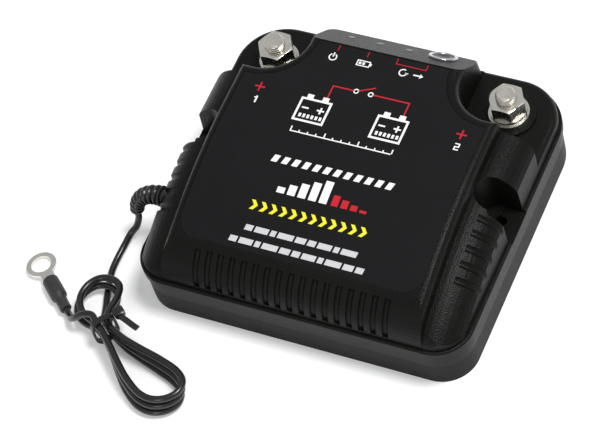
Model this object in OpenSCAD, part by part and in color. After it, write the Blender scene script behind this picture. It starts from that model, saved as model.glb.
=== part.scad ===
/* [Case] */
// Width of the cover wall, side to side
body_w = 135.6; // [132:0.2:142]
// Depth of the cover wall, front to back
body_d = 123.1; // [121:0.1:128]
// Height from the floor to the flat top
case_h = 47.5; // [47:0.1:49]
// Radius of the two front corners in plan
front_corner_r = 13.5; // [12:0.5:15]
// Radius of the two back corners in plan
back_corner_r = 19.3; // [18:0.1:20]
// Wall thickness of cover and base
wall = 2.5; // [2:0.1:2.6]
// Height of the split between base and cover
split_z = 10.8; // [10:0.1:12]
// Height of the underside of the lip
lip_bottom_z = 17; // [16:0.1:17.4]
// Height of the ledge on top of the lip
lip_z = 21; // [20.6:0.1:21.4]
// How far the lip stands out from the cover wall
lip_out = 1.28; // [1:0.02:1.6]
// How far the band below the lip stands out from the cover wall
band_out = 0.5; // [0.3:0.1:0.7]

/* [Plateau] */
// Half width of the raised middle
plateau_hw = 53.8; // [53:0.1:54.2]
// Radius of the rolled edges of the raised middle
roll_r = 3.2; // [2.8:0.1:3.4]
// Radius of the crown that falls to the front
crown_r = 178; // [172:1:190]
// Place along the depth where the flat top turns into the crown
crown_y = 8.1; // [6:0.1:10]
// Slope of the indicator strip, in degrees
strip_slope = 42; // [40:1:44]
// Place along the depth where the indicator strip starts
strip_y = 44.6; // [44:0.1:45]
// Lean of the back wall, in degrees
back_draft = 8.8; // [8:0.1:9.6]

/* [Shoulders] */
// Drop from the flat top to the crest of a shoulder
shoulder_drop = 7; // [6.5:0.1:7.5]
// Radius of a shoulder's round
shoulder_r = 14.85; // [14.5:0.05:15]
// Radius of the upright corner at a shoulder's back end
shoulder_corner_r = 3; // [2:0.5:4]

/* [Terminals] */
// Distance between the two studs
stud_span = 98; // [97:0.5:99]
// Distance of the studs behind the middle of the case
stud_y = 43.65; // [43:0.05:44]
// Radius of the stud's thread
stud_r = 4; // [3:0.5:4]
// Height of the stud's top
stud_top_z = 40.3; // [39:0.1:42]
// Width of nut and bolt head across the flats
nut_af = 13; // [12.6:0.1:13]
// Height of the nut
nut_h = 6.5; // [6:0.1:6.8]
// Outer radius of the toothed lock washer
lock_washer_r = 7.4; // [7:0.1:8]
// Thickness of the lock washer
lock_washer_t = 2; // [1.4:0.1:2.2]
// Outer radius of the flat washer
flat_washer_r = 8; // [7.8:0.1:8.4]
// Thickness of the flat washer
flat_washer_t = 1.6; // [1.2:0.1:1.8]
// Radius of the round recess about each stud
recess_r = 17.2; // [16.8:0.1:17.4]
// Height of the platform round the stud
platform_z = 26.2; // [26:0.1:26.6]
// Radius of the rolled edge of the platform
platform_roll_r = 2.5; // [1:0.5:3]
// Radius of the raised boss under the flat washer
boss_r = 10.5; // [9.5:0.1:11]
// How far that boss stands up
boss_h = 1; // [0.8:0.1:1.2]

/* [Mounting] */
// Distance between the two mounting holes
mount_span = 122.6; // [122:0.2:123]
// Radius of a mounting hole
mount_hole_r = 2.1; // [1.6:0.1:2.3]
// Radius of the pocket over a mounting hole
pocket_r = 6.9; // [6.5:0.1:7]
// Height of the pocket's floor
pocket_z = 20; // [19.8:0.1:20.4]

/* [Label] */
// Half width of the label
label_hw = 50.4; // [49.6:0.1:50.5]
// Front edge of the label
label_front_y = -49.6; // [-50:0.1:-48]
// Radius of the label's front corners
label_corner_r = 8; // [6:0.5:10]
// Thickness of the label panel
label_t = 0.5; // [0.4:0.05:0.7]
// Width of the cover's margin between label and recess
label_margin = 4.3; // [4:0.1:5]

/* [Indicators] */
// Place across the strip of the first indicator
led_x = -19.8; // [-21:0.1:-19]
// Distance between the indicators
led_pitch = 12.2; // [12:0.1:12.4]
// Radius of an indicator
led_r = 1.5; // [1.2:0.1:1.6]
// Distance of indicators and button down the slope
strip_run = 13; // [12:0.1:13.4]
// Place across the strip of the button
button_x = 18.8; // [18:0.1:19.2]
// Outer radius of the button's ring
ring_r = 5.8; // [5.4:0.1:6]
// Radius of the button's cap
button_r = 4.2; // [3.8:0.1:4.4]
// Travel of the button
button_travel = 1.2; // [0.8:0.1:1.3]

/* [Lead] */
// Radius of the ground lead
wire_r = 1.4; // [1.2:0.1:1.5]
// Half width of the hank's loops at their folds
hank_hw = 8.5; // [8.5:0.5:10]
// Length of the hank from its tie to the far folds
hank_long = 44; // [40:1:48]
// Length of the hank from its tie to the near folds
hank_short = 22; // [21:1:25]
// Rise of the hank in each whole loop
hank_rise = 3.6; // [3.5:0.1:3.8]

/* [Hidden] */
$fn = 48;

// Overrun of cuts past the surface they open
over = 1;
// Reach of cutting blocks past the whole case
far = 2 * body_w;
// Clearance between fixed pieces that sit in or beside each other
clear = 0.15;
// Running clearance on a radius
run_clear = 0.05;
// Set-back of the cover's faces from the plan outline
face_set = 0.12;
// Rise of the front cutter over the crown where the two meet
seam = 0.06;
// Steps in a rolled edge, in a shoulder's round and in the front arc
roll_steps = 6;
shoulder_steps = 8;
front_steps = 12;

hw = body_w / 2;
front_y = -body_d / 2;
back_y = body_d / 2;
stud_x = stud_span / 2;
recess_x = stud_x - recess_r;
recess_y = stud_y - recess_r;
mount_x = mount_span / 2;
crown_z = case_h - crown_r;

// Gap between the plateau's side wall and the crease at a shoulder's foot
crease = 0.3;
shoulder_x = plateau_hw + crease;
// Angle from upright at which a shoulder's round ends
shoulder_edge_angle = 60.4;
section_depth = case_h - lip_z + over;
shoulder_axis_v = -shoulder_drop - shoulder_r;

// Radius of the rounded top edge of the lip
lip_round_r = 0.9;
// Place along the depth of the middle of the mounting holes
mount_y = 0.5;
// Shift of the pocket's round wall towards the middle
pocket_shift = 0.7;
// Reach of the pocket's side opening to the front
pocket_front = 8.5;

// Shallow grooves in the shoulders: count, first place, pitch, width, depth
side_grooves = 5;
side_groove_y = -11.4;
side_groove_pitch = 6.35;
side_groove_w = 3;
side_groove_depth = 1;
// Angles from upright at which a side groove starts and runs out
side_groove_start = 18.4;
side_groove_end = 84;

// Shallow grooves down the front: count, pitch, width, depth, start and end angle
front_grooves = 17;
front_groove_pitch = 4.9;
front_groove_w = 2.4;
front_groove_depth = 1.1;
front_groove_start = 31;
front_groove_end = 84;

// Clearance below and beside the label panel
label_seat = 0.05;
// Distance of the label's back edge in front of the indicator strip
label_inset = 0.7;

// Height of the raised screw head under a busbar
head_h = 5.3;
// Chamfer at a stud's end
stud_chamfer = 0.8;
// Radial play of washers on a stud
washer_play = 0.2;
// Width of the slit in a lock washer
washer_slit = 1;
washer_z = platform_z + boss_h;
lock_z = washer_z + flat_washer_t;
nut_z = lock_z + lock_washer_t;
// Step in from a stud's free end to its shank
stud_ease = 0.25;
// Height at which a stud's free end starts, above its nut
stud_end_z = nut_z + nut_h + clear;

// Busbars: thickness, width, front edge and inner end
bar_t = 3;
bar_w = 16;
bar_front_y = 4;
bar_end_x = 12;
// Where the bar passes the wall of the mounting pocket
bar_leg_y = pocket_r + wall + over;
bar_side_x = mount_x - pocket_shift - pocket_r - wall - clear;
bar_top_z = platform_z - wall;
bar_z = bar_top_z - bar_t;

// Contactor on the middle line: depth place, half sizes and thickness of its frame
core_y = 12;
frame_hx = 12;
frame_hy = 14;
frame_t = 2;
frame_top_z = 20;
coil_r = 10.6;
bobbin_flange_t = 1;
bobbin_tube_r = 6;
plunger_r = 4.2;
plunger_play = 0.3;
plunger_z = 8;
plunger_neck_z = 21.5;
stem_r = 2;
stem_top_z = 31.5;
collar_r = 3.4;
collar_t = 1;
// Contacts: place across, radii, height of the fixed ones, gap and moving bridge
contact_x = 20;
contact_r = 3.5;
contact_t = 1.5;
rivet_r = 1.5;
contact_gap = 1.5;
button_contact_r = 3;
button_contact_t = 0.6;
bridge_hx = 25;
bridge_w = 10;
bridge_t = 2;
bridge_z = bar_top_z + contact_t + contact_gap + button_contact_t;
// Return spring: wire radius, coil radius, turns
spring_wire_r = 0.5;
spring_r = 5.1;
spring_turns = 4;

// Posts in the base and bosses in the cover
post_r = 5;
post_neck_r = 3.6;
bar_post_r = 3;
bar_post_x = 36;
screw_x = [52, 24];
screw_y = [-46, 55.4];
screw_r = 1.5;
screw_head_r = 2.9;
screw_head_h = 2.4;
screw_sink = 3.2;
screw_len = 16;
screw_post_r = 4.4;
screw_boss_r = 4;
rear_boss_z = 26;

// Gasket between base and cover: width, height, distance from the outer face
gasket_w = 1;
gasket_h = 0.8;
gasket_in = 0.9;

// Main board: half width, front and back edge, height, thickness, standoffs
board_hx = 44;
board_front_y = -55;
board_back_y = -6;
board_z = 9;
board_t = 1.6;
standoff_r = 3;
standoff_in = 5;
block_size = [10, 16, 9];
block_at = [-38, -30];
cap_r = 5;
cap_h = 14;
cap_x = [30, 17];
cap_y = -45;
chip_size = [10, 8, 2];
chip_at = [-2, -36];
chip_legs = 6;
chip_leg = [0.6, 1.4, 1];
driver_size = [10, 4.6, 9];
driver_tab_h = 6;
driver_tab_t = 1.3;
driver_x = [2, 16];
driver_y = -22;
driver_hole_r = 1.6;

// Small board under the indicator strip, in the strip's own slope
small_hx = 27.5;
small_run = [5.5, 19];
small_depth = 8.1;
small_post_r = 1.8;
small_post_x = 24.6;
led_dome = 0.1;
button_run = 13.6;
ring_h = 0.8;
ring_sleeve_r = 5;
ring_sleeve = 2.6;
cap_top = 0.4;
cap_t = 1.6;
cap_dish_r = 9;
cap_dish = 0.5;
cap_stem_r = 1.2;
tact_w = 6;
tact_h = 3.5;
stem_play = 0.1;
stem_grip = 0.3;

// Ribbon between the two boards
ribbon_x = [-28, -19];
ribbon_t = 0.8;
plug_d = 4;
plug_h = 5;
ribbon_turn_y = 45;
ribbon_end = [50.2, 29.8];

// Strain relief: place on the left wall, bend radius, sideways lean, ribs
relief_y = -29;
relief_z = 26.5;
relief_bend_r = 12;
relief_lean = 11.5;
relief_root_r = 4.2;
relief_tip_r = 2.9;
relief_core_r = 2.3;
relief_ribs = 7;
relief_rib_t = 1.5;
relief_neck_r = 3;
relief_collar = 1.2;
relief_flange_r = 3.4;
relief_flange_t = 1.4;
relief_wall_x = -hw - run_clear;
relief_grip = 2.3;
relief_in_x = wall + relief_grip - hw;
inner_route = [[-61.5, -29, 26.5], [-55, -29, 26.5], [-47, -29.4, 26.3], [-41, -29.9, 25.4],
    [-38.3, -30, 23.2], [-38, -30, 19.8]];

// Hand-chosen route of the ground lead, from the strain relief to the tie
lead_route = [[-81.4, -32.6, 9.8], [-82.4, -34.2, 6.8], [-84.3, -36.6, 4.6], [-85.4, -41, 2.7],
    [-86, -46.5, 1.7], [-85.8, -52.5, 1.4], [-84.4, -58.5, 1.4], [-82.6, -64, 1.4],
    [-80.8, -68.8, 1.4], [-79.2, -73.2, 1.9]];
// Hand-chosen route of the tail, from the tie to the boot
tail_route = [[-82.9, -79.6, 11.4], [-86.8, -80.6, 8.6], [-90.1, -79.8, 5.3]];
lead_sides = 8;

// Hank: place of the tie, direction, bow, half gap of the waist, lift and fan
tie_at = [-73.8, -81.2];
hank_angle = -36.5;
hank_bow = 0.003;
waist_hw = 1.8;
hank_lift = 1.3;
fan_short = 2;
fan_shift = 3.6;
fan_long = 1.2;
hank_sides = 6;
run_rings = [4, 3];
fold_rings = 5;
loop_rings = 2 * (run_rings[0] + run_rings[1] + fold_rings);
hank_rings = 2 * loop_rings + 2 * run_rings[0] + fold_rings;

// Cable tie round the hank's waist
tie_w = 3;
tie_t = 1;
tie_gap = 1.1;
tie_head = [4.6, 4.6, 3.2];
tie_tail_l = 10;
tie_tail_turn = 18;

// Boot and ring terminal at the lead's end
boot_at = [-94.7, -75.8, 3.4];
boot_angle = 140;
boot_r = [2.4, 3.3];
boot_l = [6.5, 10];
eye_r = 6.2;
eye_hole_r = 4.2;
eye_t = 1;
eye_dip = 9;
eye_neck_w = 5.2;
eye_reach = 9;
barrel_r = 2.2;

function unit(v) = v / norm(v);
function bow(x, steps) = (1 - cos(180 * x / steps)) / 2;

// Run from the crown's axis forward to the front face, and its rise over the ledge
front_run = crown_y - front_y - face_set;
ledge_rise = lip_z - crown_z;
// Radius of the front arc that leads a crown of radius r down to the ledge
function front_r(r) =
    (r * r - front_run * front_run - ledge_rise * ledge_rise) / (2 * (r - front_run));
// Angle at which that arc takes over from the crown
function front_angle(r) = asin((front_run - front_r(r)) / (r - front_r(r)));

// Tube of radius r with n sides through the points p
module tube(p, r, n) {
    last = len(p) - 1;
    dirs = [for (i = [0 : last]) unit(p[min(i + 1, last)] - p[max(i - 1, 0)])];
    sides = [for (i = 0, s = unit(cross(dirs[0], [dirs[0].z, dirs[0].x, dirs[0].y]));
        i <= last;
        i = i + 1, s = i <= last ? unit(s - (s * dirs[i]) * dirs[i]) : s) s];
    points = [for (i = [0 : last], k = [0 : n - 1])
        p[i] + r * (cos(360 * k / n) * sides[i] + sin(360 * k / n) * cross(dirs[i], sides[i]))];
    walls = [for (i = [0 : last - 1], k = [0 : n - 1])
        let (a = i * n + k, b = i * n + (k + 1) % n)
        each [[a, a + n, b], [b, a + n, b + n]]];
    near = [for (k = [1 : n - 2]) [0, k, k + 1]];
    end = [for (k = [1 : n - 2]) [last * n, last * n + k + 1, last * n + k]];
    polyhedron(points, concat(walls, near, end));
}

// Least distance between points of p that lie more than skip places apart
function least_gap(p, skip) = min([for (i = [0 : len(p) - 1 - skip])
    for (j = [i + skip : len(p) - 1]) norm(p[i] - p[j])]);

// Plan outline of the case, grown by o
module outline(o = 0) {
    rf = front_corner_r + o;
    rb = back_corner_r + o;
    w = hw + o;
    f = front_y - o;
    b = back_y + o;
    translate([-w, f + rf]) square([2 * w, b - f - rf - rb]);
    translate([rf - w, f]) square([2 * (w - rf), rf + over]);
    translate([rb - w, b - rb - over]) square([2 * (w - rb), rb + over]);
    for (s = [-1, 1]) {
        translate([s * (w - rf), f + rf]) circle(rf);
        translate([s * (w - rb), b - rb]) circle(rb);
    }
}

// Sweeps a profile (distance out from the cover wall, height) along the outline
module rim_sweep() {
    for (s = [0, 1]) mirror([s, 0]) {
        translate([hw, back_y - back_corner_r, 0]) rotate([90, 0, 0])
            linear_extrude(body_d - back_corner_r - front_corner_r) children();
        translate([hw - back_corner_r, back_y - back_corner_r, 0])
            rotate_extrude(angle = 90) translate([back_corner_r, 0]) children();
        translate([hw - front_corner_r, front_y + front_corner_r, 0]) rotate(-90)
            rotate_extrude(angle = 90) translate([front_corner_r, 0]) children();
    }
    translate([back_corner_r - hw, back_y, 0]) rotate([90, 0, 90])
        linear_extrude(body_w - 2 * back_corner_r) children();
    translate([hw - front_corner_r, front_y, 0]) rotate([90, 0, -90])
        linear_extrude(body_w - 2 * front_corner_r) children();
}

// Points of an arc about c with radius r, from angle a to b, both from upright
function arc(c, r, a, b, n) =
    [for (i = [0 : n]) let (k = a + (b - a) * i / n) c + r * [sin(k), cos(k)]];
// The same outline with its mirror image, as one closed ring of points
function both_sides(p) =
    concat(p, [for (i = [len(p) - 1 : -1 : 0]) [-p[i].x, p[i].y]]);

// Corner piece of side r outside a rounded corner, its tip at the origin
module spandrel(r) {
    polygon(concat([[-r, over], [over, over], [over, -r]], arc([-r, -r], r, 90, 0, roll_steps)));
}

// Cross-section of the raised middle, inset by t, height measured down from its top
module plateau_section(t) {
    w = plateau_hw - t;
    r = max(roll_r - t, roll_r / 4);
    polygon(both_sides(concat(arc([w - r, -t - r], r, 0, 90, roll_steps), [[w, -section_depth]])));
}

// Cross-section of both shoulders, inset by t
module shoulder_section(t) {
    axis = [shoulder_x, shoulder_axis_v];
    foot_x = hw - face_set - t;
    polygon(both_sides(concat(arc(axis, shoulder_r - t, 0, shoulder_edge_angle, shoulder_steps),
        [[foot_x, lip_z - case_h], [foot_x, -section_depth]])));
}

// Sweeps a cross-section along the flat top and down the crown, and rounds the
// front down to the ledge; the section's crest lies drop below the top, inset by t
module crowned(drop, t) {
    r = crown_r - drop;
    a = front_angle(r);
    fr = front_r(r);
    axis = [crown_y - (r - fr) * sin(a), lip_z];
    intersection() {
        union() {
            translate([0, back_y + over, case_h]) rotate([90, 0, 0])
                linear_extrude(back_y + over - crown_y) children();
            translate([0, crown_y, crown_z]) rotate([0, -90, 180])
                rotate_extrude(angle = asin((front_run + over) / (crown_r - section_depth)))
                    translate([crown_r, 0]) mirror([1, 0]) rotate(90) children();
        }
        translate([-far / 2, 0, 0]) rotate([90, 0, 90]) linear_extrude(far)
            polygon(concat([[far, lip_z - over], [axis.x - fr + t, lip_z - over]],
                [for (i = [0 : front_steps]) let (k = 90 - (90 - a) * i / front_steps)
                    axis + (fr - t + (i < front_steps ? 0 : seam)) * [-sin(k), cos(k)]],
                [axis + case_h * [-sin(a), cos(a)], [far, far]]));
    }
}

// Region above the right platform in plan, grown by t
module recess_plan(t) {
    difference() {
        translate([recess_x - t, recess_y - t]) square(far);
        difference() {
            translate([recess_x - t - over, recess_y - t - over])
                square([recess_r + t + over, recess_r + t + over]);
            translate([stud_x, stud_y]) circle(recess_r + t);
        }
    }
    translate([hw - face_set, recess_y - t]) spandrel(shoulder_corner_r);
}

// Spaces over the two platforms, grown by t
module recesses(t) {
    for (s = [0, 1]) mirror([s, 0]) {
        translate([0, 0, platform_z - t]) linear_extrude(case_h) recess_plan(t);
        if (t == 0) recess_edges();
    }
}

// Rolled edges round the right recess
module recess_edges() {
    translate([stud_x, stud_y, case_h]) rotate(180) rotate_extrude(angle = 90)
        translate([recess_r, 0]) mirror([1, 0]) spandrel(roll_r);
    translate([recess_x, back_y, case_h]) rotate([90, 0, 0])
        linear_extrude(back_y - stud_y) spandrel(roll_r);
    translate([stud_x, recess_y, case_h]) rotate([90, 0, 90])
        linear_extrude(plateau_hw - stud_x) spandrel(roll_r);
    translate([recess_x, back_y, lip_z]) rotate([back_draft, 0, 0])
        translate([0, 0, platform_z - lip_z]) linear_extrude(case_h) spandrel(roll_r);
}

// Pockets over the mounting holes, grown by t
module pockets(t) {
    for (s = [0, 1]) mirror([s, 0])
        translate([mount_x - pocket_shift, 0, pocket_z - t]) {
            cylinder(h = case_h, r = pocket_r + t);
            translate([0, -pocket_front - t, 0])
                cube([far, pocket_front + pocket_r + 2 * t, case_h]);
        }
}

// Outer form of the cover wall, inset by t
module cover_form(t) {
    open = t > 0 ? over : 0;
    difference() {
        union() {
            translate([0, 0, split_z - open]) linear_extrude(lip_z - split_z + open)
                outline(-t);
            intersection() {
                union() {
                    crowned(0, t) plateau_section(t);
                    crowned(shoulder_drop, t) shoulder_section(t);
                }
                translate([0, 0, lip_z - over]) linear_extrude(case_h) outline(-t);
            }
        }
        recesses(t);
        translate([-far / 2, strip_y, case_h]) rotate([-strip_slope, 0, 0])
            translate([0, -far / 2, -t]) cube(far);
        translate([-recess_x - clear, back_y, lip_z]) rotate([back_draft, 0, 0])
            translate([0, -t, 0]) cube([2 * (recess_x + clear), far, far]);
        if (t == 0) intersection() {
            translate([0, 0, platform_z]) rim_sweep() spandrel(platform_roll_r);
            for (s = [0, 1]) mirror([s, 0]) linear_extrude(case_h) recess_plan(0);
        }
        pockets(t);
    }
}

// Places children in the slope of the indicator strip: across, down it, out of it
module on_strip(x, run, out = 0) {
    translate([0, strip_y, case_h]) rotate([-strip_slope, 0, 0]) translate([x, run, out])
        children();
}

// Rounded grooves in the shoulders
module side_groove_cuts() {
    // Tube radius of the cut, so that it is side_groove_w wide at the surface
    gr = (side_groove_w * side_groove_w / 4 + side_groove_depth * side_groove_depth)
        / (2 * side_groove_depth);
    reach = shoulder_r + gr - side_groove_depth;
    for (i = [0 : side_grooves - 1], s = [0, 1]) {
        y = side_groove_y - i * side_groove_pitch;
        a = asin((crown_y - y) / (crown_r - shoulder_drop));
        mirror([s, 0]) translate([0, crown_y, crown_z]) rotate([a, 0, 0])
            translate([shoulder_x, 0, crown_r + shoulder_axis_v]) rotate([90, 0, 0])
                rotate(90 - side_groove_end)
                    rotate_extrude(angle = side_groove_end - side_groove_start)
                        translate([reach, 0]) circle(gr);
    }
}

// Rounded grooves down the front arc
module front_groove_cuts() {
    gr = (front_groove_w * front_groove_w / 4 + front_groove_depth * front_groove_depth)
        / (2 * front_groove_depth);
    fr = front_r(crown_r);
    a = front_angle(crown_r);
    reach = fr + gr - front_groove_depth;
    translate([0, crown_y - (crown_r - fr) * sin(a), lip_z]) rotate([0, -90, 180])
        for (i = [0 : front_grooves - 1]) {
            x = (i - (front_grooves - 1) / 2) * front_groove_pitch;
            rotate(front_groove_start)
                rotate_extrude(angle = front_groove_end - front_groove_start)
                    translate([reach, x]) circle(gr);
        }
}

// Plan outline of the label, grown by o
module label_plan(o) {
    w = label_hw + o;
    f = label_front_y - o;
    r = label_corner_r + o;
    gap_r = recess_r + label_margin - o;
    difference() {
        union() {
            translate([r - w, f]) square([2 * (w - r), strip_y - label_inset + o - f]);
            translate([-w, f + r]) square([2 * w, strip_y - label_inset + o - f - r]);
            for (s = [-1, 1]) translate([s * (w - r), f + r]) circle(r);
        }
        for (s = [-1, 1]) {
            translate([s * stud_x, stud_y]) circle(gap_r);
            translate([s * (stud_x + far / 2), stud_y])
                square([far, 2 * gap_r], center = true);
        }
        translate([-far / 2, stud_y]) square([far / 2 - stud_x + gap_r, far]);
        translate([stud_x - gap_r, stud_y]) square([far, far]);
    }
}

// Sheet that follows the crown, from depth low to depth high below its surface
module crown_sheet(high, low) {
    translate([0, back_y, case_h - low]) rotate([90, 0, 0])
        linear_extrude(back_y - crown_y) translate([-plateau_hw, 0])
            square([2 * plateau_hw, low - high]);
    translate([0, crown_y, crown_z]) rotate([0, -90, 180])
        rotate_extrude(angle = front_angle(crown_r))
            translate([crown_r - low, -plateau_hw]) square([low - high, 2 * plateau_hw]);
}

module label_panel() {
    color([0.16, 0.16, 0.17]) intersection() {
        crown_sheet(label_seat, label_seat + label_t);
        linear_extrude(case_h + over) label_plan(0);
    }
}

// Places the children at both studs
module at_studs() {
    for (s = [-1, 1]) translate([s * stud_x, stud_y, 0]) children();
}

module cover_bosses() {
    intersection() {
        union() {
            for (s = [-1, 1]) {
                translate([s * screw_x[0], screw_y[0], split_z]) cylinder(h = case_h, r = screw_boss_r);
                translate([s * screw_x[1], screw_y[1], split_z])
                    cylinder(h = rear_boss_z - split_z, r = screw_boss_r);
                on_strip(s * small_post_x, small_run[0] + small_post_r, board_t - small_depth)
                    cylinder(h = small_depth - board_t, r = small_post_r);
                on_strip(s * small_post_x, small_run[1] - small_post_r, board_t - small_depth)
                    cylinder(h = small_depth - board_t, r = small_post_r);
            }
        }
        cover_form(0);
    }
}

module top_cover() {
    color([0.13, 0.13, 0.12]) difference() {
        union() {
            difference() {
                union() {
                    cover_form(0);
                    translate([0, 0, split_z]) linear_extrude(lip_bottom_z - split_z)
                        outline(band_out);
                    translate([0, 0, lip_bottom_z])
                        linear_extrude(lip_z - lip_bottom_z - lip_round_r) outline(lip_out);
                    translate([0, 0, lip_bottom_z]) linear_extrude(lip_z - lip_bottom_z)
                        outline(lip_out - lip_round_r);
                    rim_sweep() translate([lip_out - lip_round_r, lip_z - lip_round_r])
                        circle(lip_round_r);
                }
                cover_form(wall);
                pocket_ledge_cut();
                side_groove_cuts();
                front_groove_cuts();
            }
            at_studs() translate([0, 0, platform_z - over]) cylinder(h = over + boss_h, r = boss_r);
            cover_bosses();
        }
        intersection() {
            crown_sheet(-over, label_t + 2 * label_seat);
            linear_extrude(case_h + 2 * over) label_plan(clear);
        }
        at_studs() cylinder(h = case_h, r = stud_r + clear);
        for (s = [-1, 1]) {
            translate([s * mount_x, mount_y, 0]) cylinder(h = case_h, r = mount_hole_r);
            for (i = [0, 1]) translate([s * screw_x[i], screw_y[i], split_z - over])
                cylinder(h = over + screw_len + screw_sink - split_z + over, r = screw_r + run_clear);
        }
        for (i = [0 : 2]) on_strip(led_x + i * led_pitch, strip_run, -2 * wall)
            cylinder(h = 3 * wall, r = led_r + run_clear);
        on_strip(button_x, button_run, -2 * wall)
            cylinder(h = 3 * wall, r = ring_sleeve_r + run_clear);
        translate([-far, relief_y, relief_z]) rotate([0, 90, 0])
            cylinder(h = far - plateau_hw, r = relief_neck_r + run_clear);
    }
}

// Lets the pockets run out over the lip
module pocket_ledge_cut() {
    for (s = [0, 1]) mirror([s, 0])
        translate([mount_x - pocket_shift, -pocket_front, pocket_z])
            cube([far, pocket_front + pocket_r, case_h]);
}

module base_shell() {
    color([0.24, 0.24, 0.23]) difference() {
        union() {
            difference() {
                linear_extrude(split_z) outline(band_out);
                translate([0, 0, wall]) linear_extrude(split_z) outline(band_out - wall);
            }
            for (s = [-1, 1]) {
                translate([s * mount_x, mount_y, 0]) {
                    cylinder(h = split_z, r = post_r);
                    cylinder(h = pocket_z - wall - run_clear, r = post_neck_r);
                }
                for (i = [0, 1]) translate([s * screw_x[i], screw_y[i], 0])
                    cylinder(h = split_z - run_clear, r = screw_post_r);
                for (y = [board_front_y + standoff_in, board_back_y - standoff_in])
                    translate([s * (board_hx - standoff_in), y, 0])
                        cylinder(h = board_z, r = standoff_r);
                translate([s * bar_post_x, core_y, 0]) cylinder(h = bar_z, r = bar_post_r);
            }
        }
        for (s = [-1, 1]) {
            translate([s * mount_x, mount_y, -over]) cylinder(h = case_h, r = mount_hole_r);
            for (i = [0, 1]) translate([s * screw_x[i], screw_y[i], -over]) {
                cylinder(h = case_h, r = screw_r + clear);
                cylinder(h = over + screw_sink, r = screw_head_r + clear);
            }
        }
        translate([0, 0, split_z - gasket_h]) linear_extrude(case_h) difference() {
            outline(band_out - gasket_in);
            outline(band_out - gasket_in - gasket_w);
        }
    }
}

module gasket() {
    color([0.05, 0.05, 0.05]) translate([0, 0, split_z - gasket_h])
        linear_extrude(gasket_h) difference() {
            outline(band_out - gasket_in - run_clear);
            outline(band_out - gasket_in - gasket_w + run_clear);
        }
}

module hexagon(h) {
    cylinder(h = h, r = nut_af / sqrt(3), $fn = 6);
}

module terminal_studs() {
    color([0.78, 0.77, 0.72]) at_studs() {
        translate([0, 0, bar_z - head_h]) hexagon(head_h);
        translate([0, 0, bar_z - over])
            cylinder(h = stud_end_z - bar_z + over, r = stud_r - stud_ease);
        translate([0, 0, stud_end_z])
            cylinder(h = stud_top_z - stud_chamfer - stud_end_z, r = stud_r);
        translate([0, 0, stud_top_z - stud_chamfer])
            cylinder(h = stud_chamfer, r1 = stud_r, r2 = stud_r - stud_chamfer);
    }
}

module flat_washers() {
    color([0.82, 0.82, 0.8]) at_studs() translate([0, 0, washer_z]) difference() {
        cylinder(h = flat_washer_t, r = flat_washer_r);
        translate([0, 0, -over]) cylinder(h = flat_washer_t + 2 * over, r = stud_r + washer_play);
    }
}

module lock_washer(side) {
    color([0.8, 0.8, 0.78]) translate([side * stud_x, stud_y, lock_z]) difference() {
        cylinder(h = lock_washer_t, r = lock_washer_r);
        translate([0, 0, -over]) cylinder(h = lock_washer_t + 2 * over, r = stud_r + run_clear);
        translate([0, -washer_slit / 2, -over])
            cube([far, washer_slit, lock_washer_t + 2 * over]);
    }
}

module lock_washer_main() { lock_washer(-1); }
module lock_washer_aux() { lock_washer(1); }

module nut(side) {
    corner = nut_af / sqrt(3);
    slope = (corner - nut_af / 2) / 2;
    color([0.76, 0.75, 0.7]) translate([side * stud_x, stud_y, nut_z]) difference() {
        intersection() {
            hexagon(nut_h);
            rotate_extrude() polygon([[0, 0], [corner - slope, 0], [corner, slope],
                [corner, nut_h - slope], [corner - 2 * slope, nut_h], [0, nut_h]]);
        }
        translate([0, 0, -over]) cylinder(h = nut_h + 2 * over, r = stud_r + run_clear);
    }
}

module nut_main() { nut(-1); }
module nut_aux() { nut(1); }

module busbar(side) {
    color([0.78, 0.45, 0.28]) mirror([side < 0 ? 1 : 0, 0]) translate([0, 0, bar_z]) difference() {
        union() {
            translate([stud_x - bar_w / 2, bar_leg_y, 0])
                cube([bar_w, stud_y + bar_w / 2 - bar_leg_y, bar_t]);
            translate([bar_end_x, bar_front_y, 0])
                cube([bar_side_x - bar_end_x, bar_w, bar_t]);
        }
        translate([stud_x, stud_y, -over]) cylinder(h = bar_t + 2 * over, r = stud_r + clear);
        translate([contact_x, core_y, -over])
            cylinder(h = bar_t + 2 * over, r = rivet_r + run_clear);
    }
}

module busbar_main() { busbar(-1); }
module busbar_aux() { busbar(1); }

module fixed_contacts() {
    color([0.85, 0.84, 0.8]) for (s = [-1, 1]) translate([s * contact_x, core_y, bar_z]) {
        cylinder(h = bar_t + contact_t, r = rivet_r);
        translate([0, 0, bar_t]) cylinder(h = contact_t, r = contact_r);
    }
}

module contactor_frame() {
    color([0.55, 0.56, 0.58]) translate([0, core_y, 0]) difference() {
        union() {
            translate([-frame_hx, -frame_hy, wall]) cube([2 * frame_hx, 2 * frame_hy, frame_t]);
            for (s = [-1, 1]) translate([-frame_hx, s * (frame_hy - frame_t / 2) - frame_t / 2, wall])
                cube([2 * frame_hx, frame_t, frame_top_z - wall]);
            translate([-frame_hx, -frame_hy, frame_top_z - frame_t])
                cube([2 * frame_hx, 2 * frame_hy, frame_t]);
            translate([0, 0, wall + frame_t - run_clear])
                cylinder(h = plunger_z - wall - frame_t - contact_gap, r = plunger_r);
        }
        translate([0, 0, frame_top_z - frame_t - over])
            cylinder(h = frame_t + 2 * over, r = plunger_r + plunger_play);
    }
}

module bobbin() {
    low = wall + frame_t;
    high = frame_top_z - frame_t;
    color([0.9, 0.88, 0.8]) translate([0, core_y, low]) difference() {
        union() {
            cylinder(h = high - low, r = bobbin_tube_r);
            cylinder(h = bobbin_flange_t, r = coil_r + clear);
            translate([0, 0, high - low - bobbin_flange_t])
                cylinder(h = bobbin_flange_t, r = coil_r + clear);
        }
        translate([0, 0, -over]) cylinder(h = high, r = plunger_r + plunger_play);
    }
}

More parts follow.
